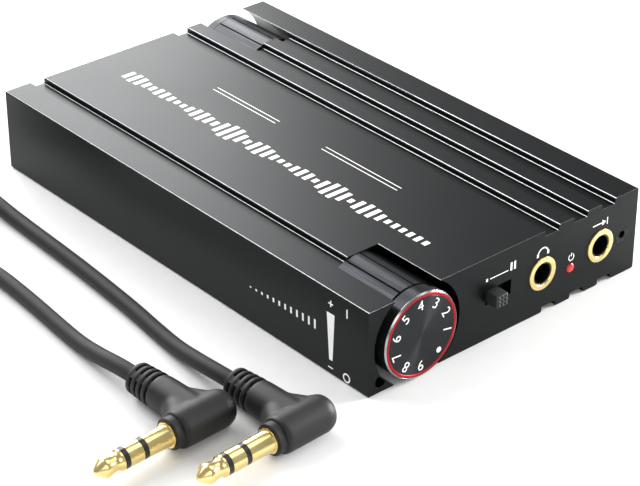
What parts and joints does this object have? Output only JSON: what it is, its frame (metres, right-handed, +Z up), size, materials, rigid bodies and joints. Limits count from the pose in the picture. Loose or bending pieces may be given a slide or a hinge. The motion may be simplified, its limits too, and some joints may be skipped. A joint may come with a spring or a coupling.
{
  "type": "headphone amplifier",
  "caption": "Flat pocket headphone amplifier in a grooved black aluminium case, with a corner volume wheel, gain switch, phone jacks and a right-angle patch lead.",
  "frame": {"origin": "middle of the flat base of the case, on the surface it stands on", "axes": "+Z up, +Y along the case from the face with the jacks and volume wheel to the rear face, +X to the right seen from that front face"},
  "size_m": [0.1063, 0.1283, 0.0154],
  "materials": {
    "case_black_anodised": "satin black anodised",
    "barrel_black_anodised": "brushed black anodised",
    "wheel_black_anodised": "turned black anodised",
    "ring_red_anodised": "red anodised",
    "screw_black_steel": "blackened",
    "bright_steel": "bright",
    "contact_brass": "bright",
    "gilt_brass": "gold plated",
    "black_plastic": "moulded",
    "bakelite": "moulded",
    "lamp_red": "clear tinted, lit",
    "lamp_clear": "clear",
    "board_green": "solder mask",
    "chip_black": "moulded epoxy",
    "capacitor_can": "bare",
    "cell_pouch": "foil laminate",
    "foam_pad": "foam tape",
    "connector_cream": "moulded",
    "wire_red": "extruded",
    "plug_mould_black": "overmoulded",
    "lead_black": "extruded",
    "tie_black": "woven hook and loop"
  },
  "bodies": {
    "case": {"shell": "case_black_anodised", "front_plate": "case_black_anodised", "rear_plate": "case_black_anodised", "plate_screws": "screw_black_steel", "volume_barrel": "barrel_black_anodised", "rear_barrel": "barrel_black_anodised", "rear_barrel_cap": "barrel_black_anodised", "pot_can": "bright_steel", "pot_track": "bakelite", "pot_wires": "wire_red", "gain_switch_can": "bright_steel", "gain_switch_terminals": "bakelite", "line_out_bushing": "gilt_brass", "line_in_bushing": "gilt_brass", "line_out_body": "black_plastic", "line_in_body": "black_plastic", "jack_springs": "bright_steel", "power_led": "lamp_red", "charge_led": "lamp_clear", "circuit_board": "board_green", "board_screws": "bright_steel", "amp_chips": "chip_black", "filter_capacitors": "capacitor_can", "charge_chip": "chip_black", "charge_socket": "bright_steel", "charge_tongue": "black_plastic", "battery": "cell_pouch", "battery_pad": "foam_pad", "battery_connector": "connector_cream", "battery_wires": "wire_red"},
    "volume": {"volume_wheel": "wheel_black_anodised", "wheel_ring": "ring_red_anodised", "pot_shaft": "bright_steel", "pot_wiper": "contact_brass"},
    "gain": {"gain_slider": "black_plastic", "gain_bridge": "contact_brass"},
    "patch_lead": {"lead_near_plug_a": "lead_black", "lead_coil": "lead_black", "lead_near_plug_b": "lead_black", "lead_tie": "tie_black", "plug_a_mould": "plug_mould_black", "plug_a_sleeve": "gilt_brass", "plug_a_ring": "gilt_brass", "plug_a_tip": "gilt_brass", "plug_a_insulators": "black_plastic", "plug_b_mould": "plug_mould_black", "plug_b_sleeve": "gilt_brass", "plug_b_ring": "gilt_brass", "plug_b_tip": "gilt_brass", "plug_b_insulators": "black_plastic"}
  },
  "joints": [
    {"name": "volume_turn", "type": "hinge", "parent": "case", "child": "volume", "pos_m": [-0.01975, -0.049, 0.0077], "axis": [0, 1, 0], "range_deg": [-228, 72]},
    {"name": "gain_slide", "type": "slide", "parent": "case", "child": "gain", "axis": [1, 0, 0], "range_m": [0, 0.0025]},
    {"name": "lead_lift", "type": "slide", "parent": "case", "child": "patch_lead", "axis": [0, 0, 1], "range_m": [0, 0.05]}
  ]
}
